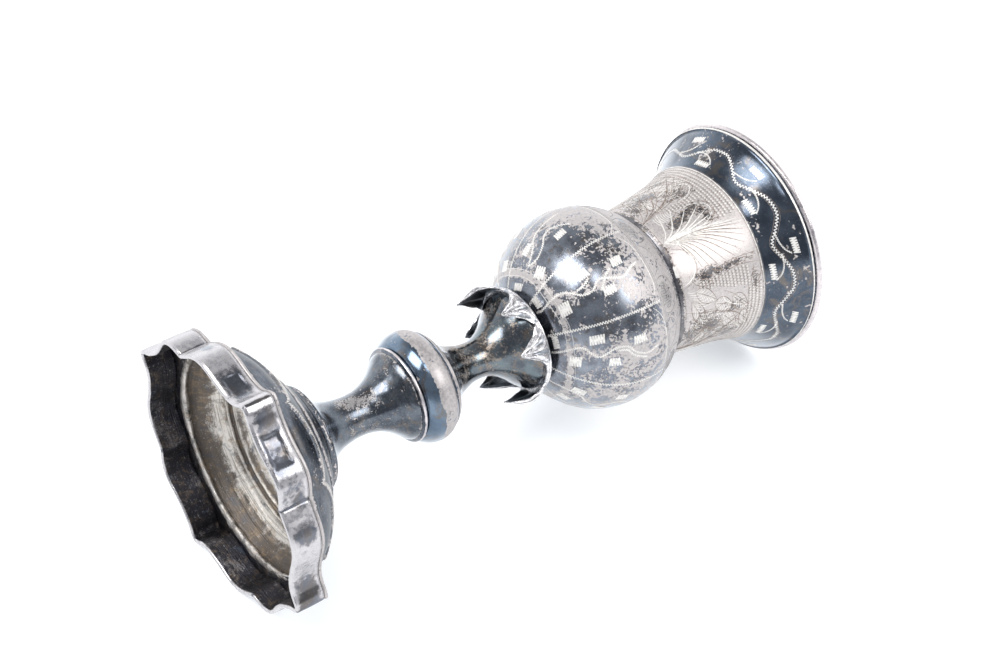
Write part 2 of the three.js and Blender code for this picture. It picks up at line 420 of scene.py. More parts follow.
def underside(name, deep, pale, patch, rust=0.6):
    """The rough, unpolished inside of the foot: stained sheet with spinning lines round the axis, and painted
    glints.
    """
    material, tree, shader = new_material(name)
    place = in_mm(tree)
    stain = noise(tree, place, patch, 6.0, 0.65, 0.8)
    grain = noise(tree, place, 3.0, 4.0, 0.7)
    hue = noise(tree, place, 0.5, 3.0, 0.6, 1.0)
    # Bluish-white specks from this noise are painted glints.
    speck = noise(tree, place, 2.2, 3.0, 0.7)
    lines = noise(tree, in_mm(tree, (0.15, 0.15, 7.0)), 1.0, 3.0)
    level = weighted(tree, -0.55, (stain, 1.0), (grain, 0.5), (worn_places(tree), 0.6))
    connect(tree, shader, {
        "Base Color": layered(
            tree, deep, (level, 0.36, 0.62, 1.0, pale), (hue, 0.50, 0.72, rust, RUST),
            (hue, 0.42, 0.30, 0.45, STAIN_BLUE), (speck, 0.60, 0.70, 0.55, GLINT_SPECK),
            (lines, 0.50, 0.64, 0.55, deep)),
        "Roughness": ranged(tree, grain, 0.3, 0.7, 0.28, 0.50),
        "Metallic": 1.0,
        "Normal": bump(tree, 0.9, 0.15, weighted(tree, 0.0, (grain, 0.8), (lines, 0.9))),
    })
    return material


def cut_metal(name, colour, low, rough):
    """Bright or soiled metal in the engraver's cuts, uneven along each cut; the brown kind also draws painted
    shadow beside the lip's vine.
    """
    material, tree, shader = new_material(name)
    grain = noise(tree, in_mm(tree), 1.6, 3.0, 0.6)
    connect(tree, shader, {
        "Base Color": mixed(tree, ranged(tree, grain, 0.34, 0.6), low, colour),
        "Roughness": ranged(tree, grain, 0.3, 0.7, rough + 0.12, rough),
        "Metallic": 0.45,
    })
    return material


FOOT = silver("foot_silver", dark=(0.11, 0.115, 0.135), cool=(0.20, 0.21, 0.24), patch=0.16, crumb=0.9,
              gloss=(0.22, 0.30), matt=0.28, edge=0.12, dull=0.05, tint=0.1, cloudy=0.3,
              worn=(0.57, 0.55, 0.56), worn_low=(0.50, 0.49, 0.505))
DOME = silver("dome_silver", dark=(0.085, 0.096, 0.115), cool=(0.15, 0.165, 0.19), patch=0.3,
              gloss=(0.20, 0.32), matt=0.38, edge=0.02, pale=0.40, grazing=0.55)
STEM = silver("stem_silver", dark=(0.078, 0.090, 0.110), cool=(0.13, 0.15, 0.175), patch=0.7, crumb=3.2,
              gloss=(0.14, 0.28), matt=0.36, edge=0.05, cloudy=0.5,
              worn=(0.46, 0.435, 0.43), worn_low=(0.26, 0.255, 0.26))
KNOP = silver("knop_silver", dark=(0.115, 0.16, 0.22), cool=(0.17, 0.225, 0.29), patch=0.35, crumb=1.8,
              gloss=(0.14, 0.26), matt=0.42, edge=0.015, cloudy=0.3,
              worn=(0.50, 0.465, 0.46), worn_low=(0.36, 0.34, 0.34))
BELL = silver("bell_silver", dark=(0.095, 0.106, 0.124), cool=(0.15, 0.185, 0.205), warm=(0.20, 0.155, 0.12),
              patch=0.45, crumb=2.0, gloss=(0.12, 0.24), matt=0.30, edge=0.09, tint=0.5, cloudy=0.5,
              worn=(0.33, 0.29, 0.255), worn_low=(0.17, 0.15, 0.14))
LEAF = silver("leaf_silver", patch=0.3, crumb=1.2, gloss=(0.28, 0.38), matt=0.24, edge=0.06, dull=0.1,
              dark=(0.24, 0.26, 0.29), cool=(0.34, 0.37, 0.41),
              worn=(0.88, 0.865, 0.87), worn_low=(0.66, 0.65, 0.67))
BOWL = silver("bowl_silver", dark=(0.14, 0.153, 0.182), cool=(0.25, 0.277, 0.32), patch=0.45, crumb=1.8,
              gloss=(0.18, 0.28), edge=0.008, cloudy=0.8)
BAND = silver("band_silver", dark=(0.066, 0.082, 0.108), cool=(0.105, 0.132, 0.17), patch=0.3, crumb=1.2,
              gloss=(0.15, 0.24), edge=0.02, cloudy=0.35)
FRIEZE = silver("frieze_silver", dark=(0.13, 0.125, 0.135), cool=(0.22, 0.22, 0.23), patch=0.6, crumb=2.9,
                worn=(0.63, 0.59, 0.575), worn_low=(0.49, 0.455, 0.445), matt=0.44, gloss=(0.26, 0.36))
LIP = silver("lip_silver", dark=(0.075, 0.09, 0.115), cool=(0.11, 0.13, 0.16), patch=0.2, crumb=0.7,
             gloss=(0.14, 0.24), matt=0.26, edge=0.12, dull=0.1, tint=0.05, cloudy=0.2,
             worn=(0.70, 0.65, 0.65), worn_low=(0.60, 0.56, 0.57))
SOOT = underside("foot_inside_dark", (0.050, 0.049, 0.058), (0.37, 0.35, 0.35), 0.22, 0.35)
SPUN = underside("foot_inside_pale", (0.17, 0.148, 0.13), (0.76, 0.72, 0.67), 0.24)
SOLDER = underside("solder_silver", (0.17, 0.155, 0.14), (0.68, 0.65, 0.62), 0.5)
INSIDE = silver("bowl_inside", dark=(0.36, 0.36, 0.37), cool=(0.50, 0.50, 0.52), patch=0.12, matt=0.3,
                edge=0.1)
CUT = cut_metal("cut_bright", (0.84, 0.82, 0.785), (0.66, 0.64, 0.615), 0.42)
CUT_DARK = cut_metal("cut_soiled", (0.24, 0.23, 0.225), (0.10, 0.10, 0.105), 0.40)
CUT_BROWN = cut_metal("cut_brown", (0.33, 0.265, 0.22), (0.12, 0.10, 0.09), 0.42)

# --- the bodies

# Kinds of panel on the ball: vines and hatched leaves, in degrees past the first meridian and mm up.
PANELS = {
    "a": {
        "vines": [[(9, 86), (9.3, 81), (11, 78.6), (16, 77), (21, 74.4)],
                  [(21, 74.4), (25, 75.8), (22.5, 78), (18, 79.6), (17, 81.2), (21, 83.2), (25, 84.6)]],
        "leaves": [((11, 76.6), (2.7, 1.8), 90), ((26.5, 81.5), (2.4, 1.8), 90), ((34, 74.6), (2.2, 2.6), 20),
                   ((17, 71.9), (2.4, 1.5), 10)],
    },
    "b": {
        "vines": [[(15, 71.6), (13.5, 74.4), (18, 76), (23.5, 77.4), (24, 79.3), (20, 81), (22.5, 83.3),
                   (25, 85.6), (22, 88), (20.5, 90)],
                  [(16, 79.7), (18.5, 78.6), (19.3, 77)], [(17.5, 84), (20, 82.6), (26.4, 80.6)]],
        "leaves": [((26, 74.3), (2.4, 2.6), 90), ((12.5, 79.2), (2.2, 1.9), 90), ((28, 82.0), (2.5, 1.8), 90),
                   ((15.5, 86.0), (2.3, 1.9), 90), ((4.5, 71.9), (2.4, 1.5), -5)],
    },
    "c": {
        "vines": [[(20, 71.2), (15, 73.2), (13.5, 74.7), (18, 75.8), (21.5, 77), (19, 78.5), (16.5, 80.2),
                   (17.5, 82.2), (22, 83.6), (25, 86.2), (23, 89)],
                  [(18.6, 80.2), (19.6, 82), (23.8, 83.2), (27.4, 86)]],
        "leaves": [((9, 77.1), (3.0, 1.9), 90), ((15, 84.8), (2.7, 1.7), 90), ((26, 79.5), (2.2, 1.8), 90),
                   ((26, 73.7), (2.4, 2.4), 90), ((7, 71.8), (2.6, 1.4), 0)],
    },
    "d": {
        "vines": [[(22, 71.5), (18, 73.4), (19, 75.6), (25, 77), (27, 79), (22, 81), (20, 83.4), (24, 85.6),
                   (26, 88.5)]],
        "leaves": [((13.5, 75), (2.8, 2.0), 90), ((32, 80.2), (2.4, 1.9), 90), ((13, 82.6), (2.3, 1.9), 90),
                   ((33, 74.2), (2.3, 2.3), 90)],
    },
}
# Directions of the meridians, and the kind of panel after each.
MERIDIANS = [(212, "a"), (257, "b"), (302, "c"), (347, "d"), (32, "b"), (77, "a"), (122, "c"), (167, "d")]
Z_CALYX_SIDE, Z_PANEL_TOP, Z_COLLAR_RING = 71.2, 91.6, 92.2


# Relief, in mm, and wear take direction, height, the normal's share away from the axis, and place.


def hand_work(a, z, nr, place):
    """Slight unevenness left by the hammer."""
    return 0.035 * fractal(place, 9.0, 11, 2) + 0.012 * fractal(place, 3.0, 12, 2)


def dome_border(a):
    """Height of the chased border on the dome: an arch over each lobe of the foot."""
    turn = a % 90
    share = np.where(turn < 41.5, turn / 41.5, (turn - 41.5) / 48.5)
    return 9.9 + 2.9 * np.sqrt(np.abs(np.sin(np.pi * share)))


def dome_relief(a, z, nr, place):
    """A sunk field under the border outside, and rings and spinning lines inside."""
    above = z - dome_border(a)
    field = -0.30 * (1 - ramp(above, -0.35, 0.1)) * ramp(z, 7.2, 8.4)
    outer = (field + 0.14 * hump(above, 0.45, 0.45)) * (z < 15.0) + hand_work(a, z, nr, place)
    r = np.hypot(place[..., 0], place[..., 1])
    rings = 0.52 * hump(r, 17.9, 0.28) - 0.30 * hump(r, 17.3, 0.26) + 0.30 * hump(r, 16.7, 0.24)
    spun = 0.035 * np.sin(r * 6.5 + 2 * fractal(place, 6.0, 5)) * ramp(np.abs(r - 17.3), 1.0, 1.8)
    return np.where(nr > INNER, outer, rings + spun + 0.06 * fractal(place, 4.0, 31))


def dome_inner_wear_and_highlight(r):
    """Paler rings on the crests, rubbed and partly a painted highlight, a dark groove between them, a painted
    highlight towards the middle, and darker towards the corner by the solder.
    """
    # The crest rings are partly a painted highlight, and the last term paints a highlight towards the middle.
    worn = 0.30 + 0.5 * hump(r, 19.6, 1.0) + 0.9 * hump(r, 17.95, 0.32) + 0.5 * hump(r, 16.7, 0.3)
    return worn - 0.7 * hump(r, 17.35, 0.3) - 0.25 * ramp(r, 21.2, 22.6) + 0.35 * ramp(-r, -16, -15)


def dome_wear(a, z, nr, place):
    edge = 0.60 * hump(z - dome_border(a), 0.5, 0.5)
    steps = 0.45 * band(z, 15.2, 16.2, 0.15) + 0.3 * ramp(z, 18.4, 19.3) + 0.35 * (1 - ramp(z, 7.0, 7.8))
    return 0.22 + edge + steps + 0.14 * fractal(place, 6.0, 41)


def stem_wear(a, z, nr, place):
    worn = 0.15 + 0.16 * band(z, 26, 34, 2.0) + 0.30 * spot(a, z, 243, 37.5, 12, 2.0)
    worn = worn + 0.40 * spot(a, z, 262, 30.5, 16, 3.2) + 0.30 * spot(a, z, 245, 27, 14, 2.4)
    worn = worn + 0.35 * ramp(z, 39.3, 39.9) + 0.2 * (1 - ramp(z, 20.0, 20.6))
    return worn - 0.15 * band(z, 21, 26, 1.0) + 0.14 * fractal(place, 4.0, 42)


def bell_wear(a, z, nr, place):
    neck = 0.30 * band(z, 50, 55, 1.0) * spot(a, z, 238, 52, 28, 9)
    shade = 0.10 * band(z, 49, 54, 1.5) * ramp(-apart(a, 285), -30, 10)
    return 0.31 + neck - shade + 0.26 * fractal(place, 3.5, 43)


def knop_wear(a, z, nr, place):
    edge = 43.35 + 1.1 * fractal(place, 3.2, 44) + 0.9 * ramp(np.abs(apart(a, 275)), 40, 75)
    return 0.16 + 0.62 * ramp(z, edge - 0.25, edge + 0.25) * (1 - ramp(z, 46.9, 47.4))


def bead_wear(a, z, nr, place):
    return 0.25 + 0.6 * ramp(nr, 0.75, 0.95)


# Patches of the ball, repeated on its far side: direction, height, half wide in degrees, half tall, and
# how much more the silver there is worn.
BALL_PATCHES = [(330, 84, 15, 5, 0.14), (230, 88, 15, 3.6, 0.24), (280, 91, 16, 2, 0.14),
                (310, 81, 8, 2, 0.12), (243, 79, 12, 4.2, -0.30), (266, 77, 11, 4, -0.24),
                (292, 78, 9, 4.2, -0.30), (308, 77, 7, 4, -0.22), (332, 75.5, 8, 2, -0.12),
                (297, 83, 6, 2.4, -0.14), (308, 86.5, 5, 3, -0.20), (352, 80, 8, 4, 0.15),
                (270, 87, 12, 3, -0.10), (286, 86, 5, 3, 0.16)]


def ball_wear(a, z, nr, place):
    """Patchy film, rubbed bare along each vine and in a wavy ring over the calyx."""
    worn = 0.42 + 0.07 * ramp(z, 79, 88) + 0.17 * ramp(z, 90, 93) + 0.18 * ramp(z, 95, 98)
    wavy = 73.35 + 0.3 * np.sin(np.radians(3 * a))
    worn = worn + 0.32 * hump(z, wavy, 0.34) - 0.20 * (1 - ramp(z, 72.4, 72.9))
    for at, height, wide, tall, more in BALL_PATCHES:
        for turn in (0, 180):
            worn = worn + more * spot(a, z, at + turn, height, wide, tall)
    along_vines = np.zeros_like(a)
    for at, kind in MERIDIANS:
        for vine in PANELS[kind]["vines"]:
            us, vs = curved(np.array(vine, float), np.linspace(0, len(vine) - 1, 5 * len(vine)))
            for u, v in zip(us, vs):
                along_vines = np.maximum(along_vines, spot(a, z, at + u, v, 2.4, 0.7))
    dark_waist = 0.36 * ramp(z, 97.2, 98.2) + 0.4 * ramp(z, 99.0, 99.8)
    return worn + 0.20 * along_vines - dark_waist + 0.10 * fractal(place, 6.0, 45)


# Sunk leaves of the frieze, tarnished and stippled: direction, height, half width in degrees, half
# height, and how many strokes stipple them.
SUNK = [(238, 111.5, 7.5, 3.6, 60), (257.5, 110, 4.5, 4.6, 46), (267, 113.2, 6, 1.4, 20),
        (262, 106, 4, 2.5, 18), (303, 106.8, 6.5, 3.0, 36), (302.5, 113, 2.8, 5.0, 28),
        (318, 117.3, 8, 0.8, 14), (345, 108, 8, 1.8, 26), (221, 105, 12, 2.6, 40),
        (230, 102.6, 10, 1.4, 24), (214, 112.5, 5, 2.2, 24), (277, 100.8, 5, 0.7, 8)]
Z_RING = 119.2                # height of the ring over the frieze
TURN = 120                    # degrees after which the frieze repeats


def throat_wear(a, z, nr, place):
    low = 0.84 - 0.62 * (1 - ramp(z, 100.2, 101.4))
    for at, height, wide, tall, _ in SUNK:
        for turn in range(0, 360, TURN):
            low = low - 0.50 * spot(a, z, at + turn, height, wide, tall)
    high = 0.20 + 0.30 * spot(a, z, 233, 122.5, 7, 1.6) + 0.34 * spot(a, z, 286, 120, 5, 0.9)
    high = high - 0.3 * ramp(z, 128.1, 128.3) + 0.12 * spot(a, z, 215, 126, 14, 2)
    return np.where(z < Z_RING, low, high) + 0.09 * fractal(place, 5.0, 46)


def lip_wear(a, z, nr, place):
    return 0.05 + 0.95 * ramp(z, 128.35, 128.75) + 0.16 * fractal(place, 9.0, 47)


# Node, materials, columns round it, mm between rows, relief and wear.
turned_piece("foot_dome", [DOME, SPUN], 420, 0.24, dome_relief, dome_wear,
             dome_inner_wear_and_highlight)
turned_piece("lower_stem", [STEM, SOOT], 260, 0.30, hand_work, stem_wear)
turned_piece("knop_bead", [LIP, SOOT], 240, 0.14, None, bead_wear)
turned_piece("knop", [KNOP, SOOT], 260, 0.18, hand_work, knop_wear)
turned_piece("knop_collar", [KNOP, SOOT], 240, 0.10, None, bead_wear)
turned_piece("upper_stem", [BELL, SOOT], 260, 0.30, hand_work, bell_wear)
turned_piece("cup_ball", [BOWL, INSIDE], 390, 0.42, hand_work, ball_wear)
turned_piece("cup_throat", [FRIEZE, INSIDE, BAND], 440, 0.36, hand_work, throat_wear,
             split=Z_RING)
turned_piece("lip_moulding", [LIP], 440, 0.10, hand_work, lip_wear)

# --- the foot

WALL = 0.9                    # thickness of the wall
WALL_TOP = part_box("foot_wall")[1].z / MM
WALL_COLUMNS, LEDGE_COLUMNS, SOLDER_COLUMNS = 900, 720, 640
HOLE = 22.6                   # radius of the hole in the ledge
CLEFTS = [0, 41.5, 90, 131.5, 180, 221.5, 270, 311.5]     # directions of the notches in the foot
PUNCHES = [(257.5, 3.1), (288.0, 2.9)]      # direction and height
PUNCH_SIZE = (3.4, 1.95)                    # half wide and half tall
WALL_R = 27.0                 # mean radius of the wall
# Soft dark patches on the wall, partly tarnish stains and partly painted dark reflections: direction, half
# wide in degrees, half tall, height and how dark.
STAIN_AND_REFLECTION_PATCHES = [(276, 3.6, 2.4, 3.4, 0.85), (310, 3.2, 1.3, 3.9, 0.80), (324, 3.6, 2.0, 3.4, 0.85),
          (358, 5.0, 2.0, 3.0, 0.75), (232, 4.0, 1.4, 3.6, 0.80), (120, 5.0, 1.8, 3.0, 0.70),
          (40, 5.0, 1.8, 3.2, 0.70), (165, 4.0, 1.6, 3.4, 0.70), (303, 7.0, 3.0, 2.0, 0.35),
          (352, 12.0, 4.0, 3.0, 0.40)]


def foot_outline(count):
    """The scalloped outline of the foot as a fine closed curve with its outward directions."""
    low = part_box("foot_ledge")[0].z / MM
    points = {tuple(round(c / MM, 3) for c in v.co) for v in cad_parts["foot_ledge"].data.vertices}
    edge = [p for p in points if abs(p[2] - low) < 0.01 and math.hypot(p[0], p[1]) > HOLE + 1]
    edge = np.array(sorted(edge, key=lambda p: math.atan2(p[1], p[0])))[:, :2]
    curve = smooth(edge, True, 0.2, corner=34.0, bevel=0.12)
    loop = np.vstack([curve, curve[:1]])
    gone = np.r_[0, np.cumsum(np.hypot(*np.diff(loop, axis=0).T))]
    even = np.linspace(0, gone[-1], count, endpoint=False)
    curve = np.stack([np.interp(even, gone, k) for k in loop.T], 1)
    return curve, beside(np.roll(curve, -2, 0) - np.roll(curve, 2, 0))


def wall_section():
    """The wall's cut as (inwards, up) points round a strip with rounded edges."""
    top, low = 0.30, 0.42
    points = arc(low, low, low, low, 270, 180, 7)
    points += [(-0.07 * math.sin(math.pi * h / WALL_TOP), h) for h in np.linspace(low, WALL_TOP - top, 22)]
    points += arc(top, WALL_TOP - top, top, top, 180, 90, 7)
    points += [(WALL, h) for h in np.linspace(WALL_TOP, low, 16)]
    return np.array(points + arc(WALL - low, low, low, low, -15, -75, 5))


def foot_wall():
    """The wall: hammered, stained and darkened by painted reflections, nicked at its clefts and struck with
    two blank punches.
    """
    curve, out = foot_outline(WALL_COLUMNS)
    cut = wall_section()
    flat = curve - out * cut[:, :1, None]
    up = cut[:, 1:] + 0 * flat[..., 0]
    place = np.dstack([flat, up])
    a = np.degrees(np.arctan2(curve[:, 1], curve[:, 0])) + 0 * up
    dent = 0.06 * fractal(place, 7.0, 21, 2) + 0.02 * fractal(place, 2.0, 22, 2)
    worn = 1.0 + 0.34 * fractal(place, 9.0, 23, 2)
    # Dark patches, partly stains and partly painted dark reflections.
    for at, wide, tall, height, dark in STAIN_AND_REFLECTION_PATCHES:
        worn = worn - 1.5 * dark * spot(a, up, at, height, wide, tall)
    cleft = np.min([np.abs(apart(a, at)) for at in CLEFTS], axis=0)
    worn = worn - hump(cleft, 0, 0.7)
    dent = dent - 0.14 * hump(cleft, 0, 0.6)
    for at, height in PUNCHES:
        side = np.radians(apart(a, at)) * WALL_R
        box = np.maximum(np.abs(side) / PUNCH_SIZE[0], np.abs(up - height) / PUNCH_SIZE[1])
        box = box + 0.12 * fractal(place, 1.5, 27, 2)
        floor = 1 - ramp(box, 0.66, 1.0)
        dent = dent - floor * (0.26 + 0.035 * fractal(place, 0.6, 24, 2))
        worn = worn - 0.55 * floor * (1 + 0.35 * fractal(place, 0.6, 25, 2)) - 0.6 * (1 - ramp(box, 0.8, 1.7))
    rubbed = ramp(up, 4.9, 5.5) + 1 - ramp(up, 0.4, 1.0)
    worn = np.clip(worn + 0.25 * rubbed, 0, 1.3)
    outer = cut[:, :1] < 0.25
    dent = np.where(outer, dent, -0.10 * fractal(place, 3.0, 26, 3)) * ramp(up, 0.05, 0.5)
    place[..., :2] += dent[..., None] * out
    inner = (cut[:, 0] > WALL - 0.05) & (cut[:, 1] > 0.4)
    add_mesh("foot_wall_fine", place.reshape(-1, 3), grid_faces(len(cut), WALL_COLUMNS, flip=True),
             [FOOT, SOOT], ["foot_wall"],
             {"wear": np.where(outer | (up < 0.4), worn, 0.25)}, np.repeat(inner, WALL_COLUMNS))


def foot_ledge():
    """The scalloped plate over the wall, with a rounded rim and uneven, sooty underside."""
    curve, out = foot_outline(LEDGE_COLUMNS)
    low, high = (c.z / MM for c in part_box("foot_ledge"))
    rim = [(0.45, 0.0), (0.12, 0.06), (0.0, 0.25), (0.05, 0.5), (0.25, 0.72), (0.6, high - low)]
    rings = [(curve - out * inwards, low + up, 0.0) for inwards, up in rim]
    inner, hole = rings[-1][0], HOLE * unit(curve)
    shares = np.linspace(0.06, 1, 22)
    for height, order in ((high, shares), (low, shares[::-1])):
        rings += [(inner * (1 - share) + hole * share, height, share) for share in order]
    flat, up, share = (np.array(k) for k in zip(*rings))
    up, share = up[:, None] + 0 * flat[..., 0], share[:, None]
    place = np.dstack([flat, up])
    under = up <= low + 0.01
    ripple = 0.10 * fractal(place, 4.0, 51, 3) * np.sin(np.pi * share)
    place[..., 2] += np.where(under, np.minimum(ripple * 1.6 - 0.05, 0.3), ripple * 0.5)
    worn = 0.22 + 0.55 * (share <= 0.0) + 0.15 * fractal(place, 5.0, 52)
    add_mesh("foot_ledge_fine", place.reshape(-1, 3), grid_faces(len(rings), LEDGE_COLUMNS, flip=True),
             [DOME, SOOT], ["foot_ledge"], {"wear": worn}, under.ravel())


def foot_solder():
    """The lumpy fillet of solder inside the foot where dome and ledge meet."""
    a = np.linspace(0, 360, SOLDER_COLUMNS, endpoint=False)[None, :]
    t = np.linspace(0, 2 * np.pi, 14, endpoint=False)[:, None]
    path = turned(a, 23, 0)
    fat = 0.95 + 0.50 * fractal(path, 5.0, 61, 3) + 0.40 * np.maximum(fractal(path, 2.2, 62, 2), 0.15)
    r = 22.95 + 0.35 * fractal(path, 9.0, 63, 2) + fat * np.cos(t)
    place = turned(a, r, 6.35 + 0.55 * fat * np.sin(t))
    place += 0.07 * fractal(place, 0.9, 64, 2)[..., None]
    add_mesh("foot_solder", place.reshape(-1, 3), grid_faces(len(t), SOLDER_COLUMNS, flip=True), [SOLDER],
             (), {"wear": 0.55 + 0.5 * fractal(place, 3.0, 65, 2)})


foot_wall()
foot_ledge()
foot_solder()

# --- the calyx

# Leaves cut and bent by hand: direction of the tip in degrees, length, how far the tip leans outward,
# twist, half width at the root, and how many degrees the root lies round from the tip.
LEAVES = [(203, 9.1, 0.3, 0.45, 5.6, -9), (259, 5.8, 0.4, -0.08, 4.4, 0), (306, 6.1, 0.1, 0.08, 4.4, 0),
          (15, 8.6, -0.7, -0.45, 4.8, 4), (77, 7.0, 0.0, 0.1, 4.4, 0), (137, 5.4, -0.8, -0.1, 3.8, 0)]
RIM_R, RIM_Z = 11.0, 69.25    # where the leaves grow from the disc's rim
LEAF_THICK = 0.55
DISC_COLUMNS = 300


def leaf_place(leaf, s, w, lift):
    """Point of a leaf: s runs from the rim to the tip, w from -1 to 1 across."""
    at, length, lean, twist, wide, sweep = leaf
    taper = (1 - s) ** 0.9 * (1 - 0.35 * s * np.sin(np.pi * s))
    half = 0.12 + wide * taper * (1 + 0.06 * np.sin(13 * s) * (np.abs(w) > 0.9))
    bend = lean * s * s + 0.5 * np.sin(np.pi * s) + twist * half * w * np.minimum(1, 2.2 * s)
    crease = 0.75 * (1 - np.abs(w)) * np.sin(np.pi * np.minimum(1, s + 0.2))
    folds = 0.34 * np.cos(3.2 * np.pi * w + 0.6) * np.sin(np.pi * np.clip(s * 1.1, 0, 1))
    r = RIM_R + bend + crease + folds + lift
    return turned(at + sweep * (1 - s) + np.degrees(half * w / r), r, RIM_Z - length * s)


def leaf_half_thick(s, w):
    return LEAF_THICK / 2 * (1 - 0.6 * np.abs(w) ** 10) * (1 - 0.4 * s)


def calyx_leaf(leaf):
    """Points, faces and wear of one leaf as a closed, crumpled plate."""
    rows, columns = 52, 36
    s = np.linspace(0, 1, rows)[:, None]
    w = np.sin(np.linspace(-np.pi / 2, np.pi / 2, columns))[None, :]
    thick = leaf_half_thick(s, w)
    loop = np.concatenate([leaf_place(leaf, s, w, thick), leaf_place(leaf, s, w, -thick)[:, ::-1]], 1)
    loop += 0.04 * fractal(loop, 1.8, 71, 2)[..., None]
    count = 2 * columns
    faces = grid_faces(rows, count, False, flip=True)
    faces.append(list(range(count)))
    faces.append(list(range((rows - 1) * count, rows * count))[::-1])
    edge = ramp(np.abs(w), 0.86, 0.97)
    face = 0.74 + 0.34 * np.cos(3.2 * np.pi * w + 0.6) + 0.5 * edge + 0 * s
    worn = np.concatenate([face, 0.12 + 0.8 * edge[:, ::-1] ** 3 + 0 * s], 1)
    return loop.reshape(-1, 3), faces, worn.ravel()


def calyx_disc():
    """The disc under the ball, with a rim of two small rolls."""
    low, high, fold = 69.0, 69.6, 0.30
    cut = [(2.5, low), (6, low), (10.3, low - 0.05)]
    cut += arc(11.05, low - 0.05, fold, fold, -150, 60, 9) + arc(10.95, high, fold, fold, -60, 150, 9)
    cut = np.array(cut + [(10.3, high), (6, high), (2.5, high)])
    a = np.linspace(0, 360, DISC_COLUMNS, endpoint=False)[None, :]
    place = turned(a, cut[:, :1], cut[:, 1:])
    place[..., 2] += 0.14 * fractal(place, 3.5, 72, 3) * ramp(cut[:, :1], 10.3, 11.0)
    worn = 0.62 + 0.5 * fractal(place, 2.5, 73, 2)
    return place.reshape(-1, 3), grid_faces(len(cut), DISC_COLUMNS), worn.ravel()


def calyx():
    """The folded disc and its leaves as one piece."""
    vertices, faces, worn = [], [], []
    for points, quads, field in [calyx_disc()] + [calyx_leaf(leaf) for leaf in LEAVES]:
        faces += [[k + len(vertices) for k in quad] for quad in quads]
        vertices += list(points)
        worn += list(field)
    add_mesh("calyx_fine", vertices, faces, [LEAF], ["calyx"], {"wear": worn})


calyx()

# --- engraving

SINK = 0.006                  # mm that a ridge's sides reach into the surface


class Engraving:
    """Cuts on a surface, gathered as small two-sided ridges into one mesh.

    surface(u, v) gives points in mm and their normals, and turn is added to every u.
    """

    def __init__(self, surface):
        self.surface = surface
        self.turn = 0.0
        self.vertices = []
        self.faces = []

    def on(self, u, v):
        return self.surface(np.asarray(u) + self.turn, np.asarray(v))

    def ridge(self, place, normal, side, height):
        """A ridge along the points; side reaches from its middle to one edge."""
        low = place - SINK * normal
        start = len(self.vertices)
        self.vertices += list(np.stack([low + side, place + height * normal, low - side], 1).reshape(-1, 3))
        for k in range(start, start + 3 * (len(place) - 1), 3):
            self.faces += [[k, k + 3, k + 4, k + 1], [k + 1, k + 4, k + 5, k + 2]]

    def cut(self, place, normal, width, height=0.03, taper=True):
        """One cut along the points."""
        side = unit(np.cross(normal, np.gradient(place, axis=0)))
        share = np.linspace(0, 1, len(place))[:, None]
        wide = np.sin(np.pi * np.clip(share, 0.04, 0.96)) ** 0.5 if taper else 1.0
        self.ridge(place, normal, width / 2 * wide * side, height)

    def even(self, points, gap):
        """Points and normals at an even gap in mm along a curve through (u, v) points."""
        u, v = curved(np.asarray(points, float), np.linspace(0, len(points) - 1, 24 * len(points)))
        place, _ = self.on(u, v)
        gone = np.r_[0, np.cumsum(np.linalg.norm(np.diff(place, axis=0), axis=1))]
        even = np.linspace(0, gone[-1], max(2, int(round(gone[-1] / gap)) + 1))
        return self.on(np.interp(even, gone, u), np.interp(even, gone, v))

    def line(self, points, width, height=0.03):
        self.cut(*self.even(points, 0.35), width, height)

    def wriggle(self, points, swing, pitch, width, height=0.03):
        """The zigzag line of a rocked graver: a ridge for each stroke."""
        place, normal = self.even(points, pitch / 2)
        side = unit(np.cross(normal, np.gradient(place, axis=0)))
        zigzag = place + side * swing * np.where(np.arange(len(place)) % 2, 1.0, -1.0)[:, None]
        across = width / 2 * unit(np.cross(normal[:-1], zigzag[1:] - zigzag[:-1]))
        for i, half in enumerate(across):
            self.ridge(zigzag[i:i + 2], normal[i:i + 2], half, height)

    def leaf(self, at, size, lean, pitch=0.53, stroke=0.36):
        """A hatched block: a wide wriggle along size[0] mm and size[1] mm across, lean degrees up."""
        u, v = at
        (middle,), _ = self.on([u], [v])
        (low, high), _ = self.on([u, u], [v - 0.2, v + 0.2])
        per_degree = math.radians(1) * math.hypot(middle[0], middle[1])
        per_mm = float(np.linalg.norm(high - low)) / 0.4
        dx = size[0] / 2 * math.cos(math.radians(lean)) / per_degree
        dz = size[0] / 2 * math.sin(math.radians(lean)) / per_mm
        self.wriggle([(u - dx, v - dz), (u + dx, v + dz)], size[1] / 2, pitch, stroke)

    def build(self, name, material):
        add_mesh(name, self.vertices, self.faces, [material])


def ring(z, sway=0.0):
    """Points all round the goblet at a height that may sway."""
    return [(u, z + sway * math.sin(u / 9)) for u in np.linspace(0, 360, 73)]


def turned_surface(name, relief=hand_work):
    """The outer side of a turned node as a function of (degrees, height)."""
    chain, closed = section(name)
    curve = smooth(chain, closed, 0.3)
    normal = outward(curve, closed)
    outer = normal[:, 0] > 0.02
    curve, normal = curve[outer], normal[outer]
    order = np.argsort(curve[:, 1], kind="stable")
    r, z = curve[order].T
    nr, nz = normal[order].T

    def surface(u, v):
        n = unit(np.stack([np.interp(v, z, nr), np.interp(v, z, nz)], -1))
        place = turned(u, np.interp(v, z, r), v)
        out = turned(u, n[:, 0], n[:, 1])
        return place + out * relief(u, v, n[:, 0], place)[:, None], out

    return surface


